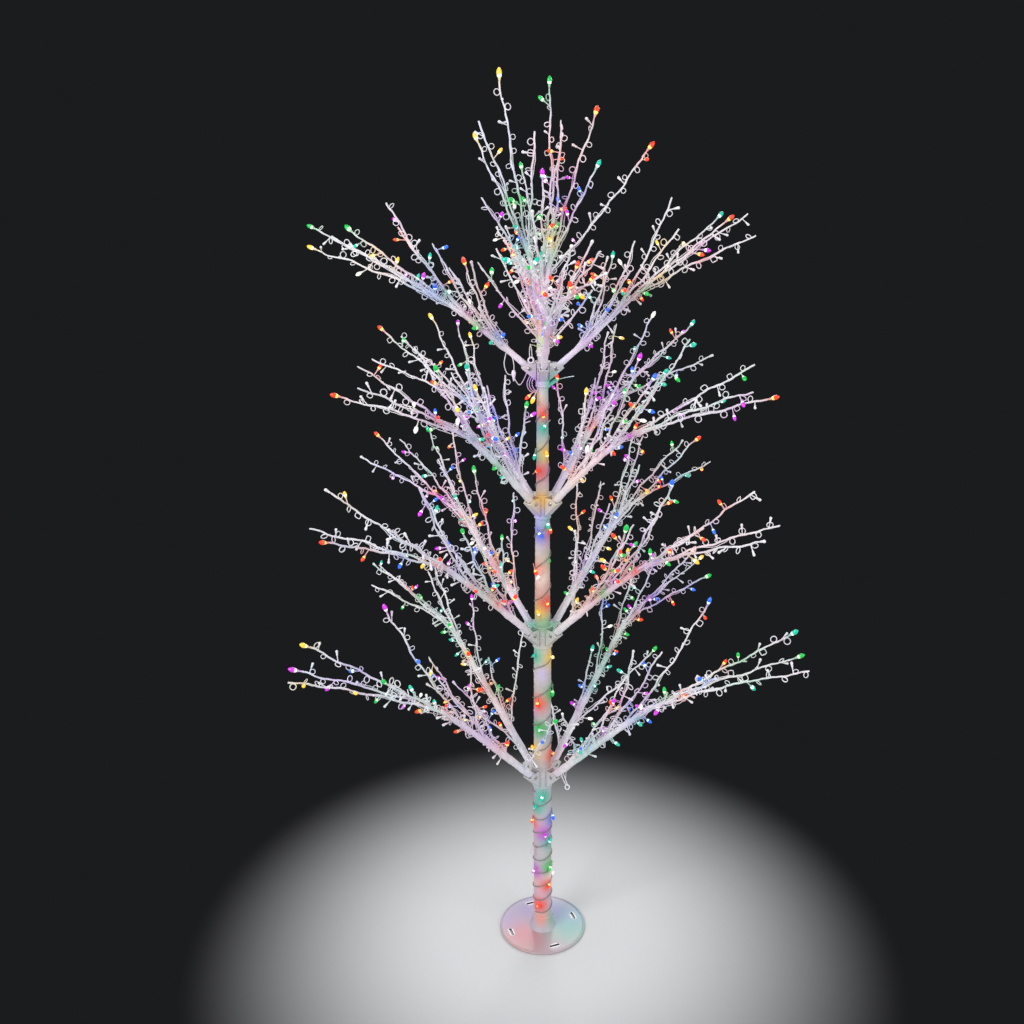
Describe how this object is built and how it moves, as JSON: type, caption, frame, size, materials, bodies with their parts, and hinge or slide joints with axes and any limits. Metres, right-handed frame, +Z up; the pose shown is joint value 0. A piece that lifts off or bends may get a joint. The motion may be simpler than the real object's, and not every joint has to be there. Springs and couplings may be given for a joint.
{
  "type": "light tree",
  "caption": "Tall free-standing light tree with a round slotted base, a tapering trunk and hinged twiggy branches that fold upwards.",
  "frame": {"origin": "centre of the base plate's underside, where it meets the floor", "axes": "+Z up the trunk; the base plate's four slots lie on +X, +Y, -X and -Y"},
  "size_m": [1.1781, 1.1017, 2.1195],
  "materials": {
    "coated_steel": "white powder coat, satin",
    "zinc_steel": "zinc plated",
    "pole_tape": "steel tube wrapped in white matt tape",
    "twig_tape": "wire bundle wrapped in white matt tape",
    "clear_flex": "thin clear-coated lead of the light string",
    "led_red": "small clear lamp, lit",
    "led_amber": "small clear lamp, lit",
    "led_green": "small clear lamp, lit",
    "led_teal": "small clear lamp, lit",
    "led_blue": "small clear lamp, lit",
    "led_violet": "small clear lamp, lit",
    "led_white": "small clear lamp, lit"
  },
  "bodies": {
    "trunk": {"base_plate": "coated_steel", "base_spigot": "zinc_steel", "base_collar": "coated_steel", "pole_1": "pole_tape", "pole_2": "pole_tape", "pole_3": "pole_tape", "pole_4": "pole_tape", "hub_1": "coated_steel", "hub_2": "coated_steel", "hub_3": "coated_steel", "hub_4": "coated_steel", "pin_1_1": "zinc_steel", "pin_1_2": "zinc_steel", "pin_1_3": "zinc_steel", "pin_1_4": "zinc_steel", "pin_2_1": "zinc_steel", "pin_2_2": "zinc_steel", "pin_2_3": "zinc_steel", "pin_2_4": "zinc_steel", "pin_3_1": "zinc_steel", "pin_3_2": "zinc_steel", "pin_3_3": "zinc_steel", "pin_3_4": "zinc_steel", "pin_4_1": "zinc_steel", "pin_4_2": "zinc_steel", "pin_4_3": "zinc_steel", "pin_4_4": "zinc_steel", "crown_spray": "twig_tape", "side_spray": "twig_tape", "trunk_string_1": "clear_flex", "trunk_string_2": "clear_flex", "trunk_string_3": "clear_flex", "trunk_string_4": "clear_flex"},
    "branch_1_1": {"branch_1_1": "twig_tape"},
    "branch_1_2": {"branch_1_2": "twig_tape"},
    "branch_1_3": {"branch_1_3": "twig_tape"},
    "branch_1_4": {"branch_1_4": "twig_tape"},
    "branch_2_1": {"branch_2_1": "twig_tape"},
    "branch_2_2": {"branch_2_2": "twig_tape"},
    "branch_2_3": {"branch_2_3": "twig_tape"},
    "branch_2_4": {"branch_2_4": "twig_tape"},
    "branch_3_1": {"branch_3_1": "twig_tape"},
    "branch_3_2": {"branch_3_2": "twig_tape"},
    "branch_3_3": {"branch_3_3": "twig_tape"},
    "branch_3_4": {"branch_3_4": "twig_tape"},
    "branch_4_1": {"branch_4_1": "twig_tape"},
    "branch_4_2": {"branch_4_2": "twig_tape"},
    "branch_4_3": {"branch_4_3": "twig_tape"},
    "branch_4_4": {"branch_4_4": "twig_tape"}
  },
  "joints": [
    {"name": "fold_1_1", "type": "hinge", "parent": "trunk", "child": "branch_1_1", "pos_m": [0.03549, 0.01808, 0.48298], "axis": [0.454, -0.891, 0], "range_deg": [0, 30]},
    {"name": "fold_1_2", "type": "hinge", "parent": "trunk", "child": "branch_1_2", "pos_m": [-0.01808, 0.03549, 0.48298], "axis": [0.891, 0.454, 0], "range_deg": [0, 30]},
    {"name": "fold_1_3", "type": "hinge", "parent": "trunk", "child": "branch_1_3", "pos_m": [-0.03549, -0.01808, 0.48298], "axis": [-0.454, 0.891, 0], "range_deg": [0, 30]},
    {"name": "fold_1_4", "type": "hinge", "parent": "trunk", "child": "branch_1_4", "pos_m": [0.01808, -0.03549, 0.48298], "axis": [-0.891, -0.454, 0], "range_deg": [0, 30]},
    {"name": "fold_2_1", "type": "hinge", "parent": "trunk", "child": "branch_2_1", "pos_m": [0.03489, 0.01627, 0.87576], "axis": [0.4226, -0.9063, 0], "range_deg": [0, 30]},
    {"name": "fold_2_2", "type": "hinge", "parent": "trunk", "child": "branch_2_2", "pos_m": [-0.01627, 0.03489, 0.87576], "axis": [0.9063, 0.4226, 0], "range_deg": [0, 30]},
    {"name": "fold_2_3", "type": "hinge", "parent": "trunk", "child": "branch_2_3", "pos_m": [-0.03489, -0.01627, 0.87576], "axis": [-0.4226, 0.9063, 0], "range_deg": [0, 30]},
    {"name": "fold_2_4", "type": "hinge", "parent": "trunk", "child": "branch_2_4", "pos_m": [0.01627, -0.03489, 0.87576], "axis": [-0.9063, -0.4226, 0], "range_deg": [0, 30]},
    {"name": "fold_3_1", "type": "hinge", "parent": "trunk", "child": "branch_3_1", "pos_m": [0.03081, 0.01503, 1.20868], "axis": [0.4384, -0.8988, 0], "range_deg": [0, 30]},
    {"name": "fold_3_2", "type": "hinge", "parent": "trunk", "child": "branch_3_2", "pos_m": [-0.01503, 0.03081, 1.20868], "axis": [0.8988, 0.4384, 0], "range_deg": [0, 30]},
    {"name": "fold_3_3", "type": "hinge", "parent": "trunk", "child": "branch_3_3", "pos_m": [-0.03081, -0.01503, 1.20868], "axis": [-0.4384, 0.8988, 0], "range_deg": [0, 30]},
    {"name": "fold_3_4", "type": "hinge", "parent": "trunk", "child": "branch_3_4", "pos_m": [0.01503, -0.03081, 1.20868], "axis": [-0.8988, -0.4384, 0], "range_deg": [0, 30]},
    {"name": "fold_4_1", "type": "hinge", "parent": "trunk", "child": "branch_4_1", "pos_m": [0.02893, -0.00884, 1.5211], "axis": [-0.2924, -0.9563, 0], "range_deg": [0, 30]},
    {"name": "fold_4_2", "type": "hinge", "parent": "trunk", "child": "branch_4_2", "pos_m": [0.00884, 0.02893, 1.5211], "axis": [0.9563, -0.2924, 0], "range_deg": [0, 30]},
    {"name": "fold_4_3", "type": "hinge", "parent": "trunk", "child": "branch_4_3", "pos_m": [-0.02893, 0.00884, 1.5211], "axis": [0.2924, 0.9563, 0], "range_deg": [0, 30]},
    {"name": "fold_4_4", "type": "hinge", "parent": "trunk", "child": "branch_4_4", "pos_m": [-0.00884, -0.02893, 1.5211], "axis": [-0.9563, 0.2924, 0], "range_deg": [0, 30]}
  ]
}
